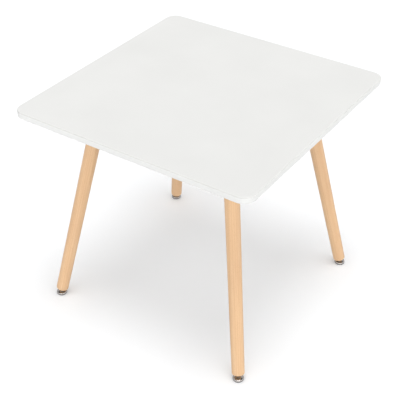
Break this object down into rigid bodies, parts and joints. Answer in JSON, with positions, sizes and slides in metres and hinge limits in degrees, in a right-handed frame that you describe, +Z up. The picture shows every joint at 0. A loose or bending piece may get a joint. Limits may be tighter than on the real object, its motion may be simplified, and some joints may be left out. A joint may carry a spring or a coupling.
{
  "type": "kids table",
  "caption": "Small square children's table: white rounded-corner top on splayed tapered wooden legs with screw-in swivel glides.",
  "frame": {"origin": "on the floor, under the middle of the top, with the glides screwed fully in", "axes": "+Z up; X and Y along the top's edges, -Y the front"},
  "size_m": [0.6, 0.6, 0.54],
  "materials": {
    "lacquer": "white satin lacquer on fibreboard",
    "beech": "clear matt lacquer on beech",
    "plate_steel": "zinc plated pressed steel",
    "screw_zinc": "bright zinc",
    "bolt_zinc": "bright zinc",
    "insert_zinc": "bright zinc",
    "stud_steel": "bright zinc thread",
    "nickel_dome": "bright nickel plating",
    "ball_nylon": "dark nylon",
    "pad_nylon": "dark grey nylon"
  },
  "bodies": {
    "root": {"table_top": "lacquer", "mount_plate_back_right": "plate_steel", "mount_plate_back_left": "plate_steel", "mount_plate_front_left": "plate_steel", "mount_plate_front_right": "plate_steel", "plate_screws_back_right": "screw_zinc", "plate_screws_back_left": "screw_zinc", "plate_screws_front_left": "screw_zinc", "plate_screws_front_right": "screw_zinc", "hanger_bolt_back_right": "bolt_zinc", "hanger_bolt_back_left": "bolt_zinc", "hanger_bolt_front_left": "bolt_zinc", "hanger_bolt_front_right": "bolt_zinc", "leg_back_right": "beech", "leg_back_left": "beech", "leg_front_left": "beech", "leg_front_right": "beech", "leg_insert_back_right": "insert_zinc", "leg_insert_back_left": "insert_zinc", "leg_insert_front_left": "insert_zinc", "leg_insert_front_right": "insert_zinc"},
    "swivel_back_right": {"glide_ball_back_right": "ball_nylon"},
    "stud_back_right": {"glide_stud_back_right": "stud_steel"},
    "base_back_right": {"glide_base_back_right": "nickel_dome", "glide_pad_back_right": "pad_nylon"},
    "swivel_back_left": {"glide_ball_back_left": "ball_nylon"},
    "stud_back_left": {"glide_stud_back_left": "stud_steel"},
    "base_back_left": {"glide_base_back_left": "nickel_dome", "glide_pad_back_left": "pad_nylon"},
    "swivel_front_left": {"glide_ball_front_left": "ball_nylon"},
    "stud_front_left": {"glide_stud_front_left": "stud_steel"},
    "base_front_left": {"glide_base_front_left": "nickel_dome", "glide_pad_front_left": "pad_nylon"},
    "swivel_front_right": {"glide_ball_front_right": "ball_nylon"},
    "stud_front_right": {"glide_stud_front_right": "stud_steel"},
    "base_front_right": {"glide_base_front_right": "nickel_dome", "glide_pad_front_right": "pad_nylon"}
  },
  "joints": [
    {"name": "foot_height_back_right", "type": "slide", "parent": "root", "child": "swivel_back_right", "axis": [0.1737, 0.1737, -0.9694], "range_m": [0, 0.008]},
    {"name": "stud_turn_back_right", "type": "hinge", "parent": "swivel_back_right", "child": "stud_back_right", "pos_m": [0.262, 0.2495, 0.006], "axis": [0.1737, 0.1737, -0.9694], "range_deg": [0, 2304]},
    {"name": "foot_tilt_back_right", "type": "hinge", "parent": "swivel_back_right", "child": "base_back_right", "pos_m": [0.262, 0.2495, 0.006], "axis": [0.7071, -0.7071, 0], "range_deg": [-11, 38]},
    {"name": "foot_height_back_left", "type": "slide", "parent": "root", "child": "swivel_back_left", "axis": [-0.1737, 0.1737, -0.9694], "range_m": [0, 0.008]},
    {"name": "stud_turn_back_left", "type": "hinge", "parent": "swivel_back_left", "child": "stud_back_left", "pos_m": [-0.262, 0.2495, 0.006], "axis": [-0.1737, 0.1737, -0.9694], "range_deg": [0, 2304]},
    {"name": "foot_tilt_back_left", "type": "hinge", "parent": "swivel_back_left", "child": "base_back_left", "pos_m": [-0.262, 0.2495, 0.006], "axis": [0.7071, 0.7071, 0], "range_deg": [-11, 38]},
    {"name": "foot_height_front_left", "type": "slide", "parent": "root", "child": "swivel_front_left", "axis": [-0.1737, -0.1737, -0.9694], "range_m": [0, 0.008]},
    {"name": "stud_turn_front_left", "type": "hinge", "parent": "swivel_front_left", "child": "stud_front_left", "pos_m": [-0.262, -0.2495, 0.006], "axis": [-0.1737, -0.1737, -0.9694], "range_deg": [0, 2304]},
    {"name": "foot_tilt_front_left", "type": "hinge", "parent": "swivel_front_left", "child": "base_front_left", "pos_m": [-0.262, -0.2495, 0.006], "axis": [-0.7071, 0.7071, 0], "range_deg": [-11, 38]},
    {"name": "foot_height_front_right", "type": "slide", "parent": "root", "child": "swivel_front_right", "axis": [0.1737, -0.1737, -0.9694], "range_m": [0, 0.008]},
    {"name": "stud_turn_front_right", "type": "hinge", "parent": "swivel_front_right", "child": "stud_front_right", "pos_m": [0.262, -0.2495, 0.006], "axis": [0.1737, -0.1737, -0.9694], "range_deg": [0, 2304]},
    {"name": "foot_tilt_front_right", "type": "hinge", "parent": "swivel_front_right", "child": "base_front_right", "pos_m": [0.262, -0.2495, 0.006], "axis": [-0.7071, -0.7071, 0], "range_deg": [-11, 38]}
  ],
  "couplings": [
    {"joint": "stud_turn_back_right", "follows": "foot_height_back_right", "rad_per_m": 5026.5},
    {"joint": "stud_turn_back_left", "follows": "foot_height_back_left", "rad_per_m": 5026.5},
    {"joint": "stud_turn_front_left", "follows": "foot_height_front_left", "rad_per_m": 5026.5},
    {"joint": "stud_turn_front_right", "follows": "foot_height_front_right", "rad_per_m": 5026.5}
  ]
}
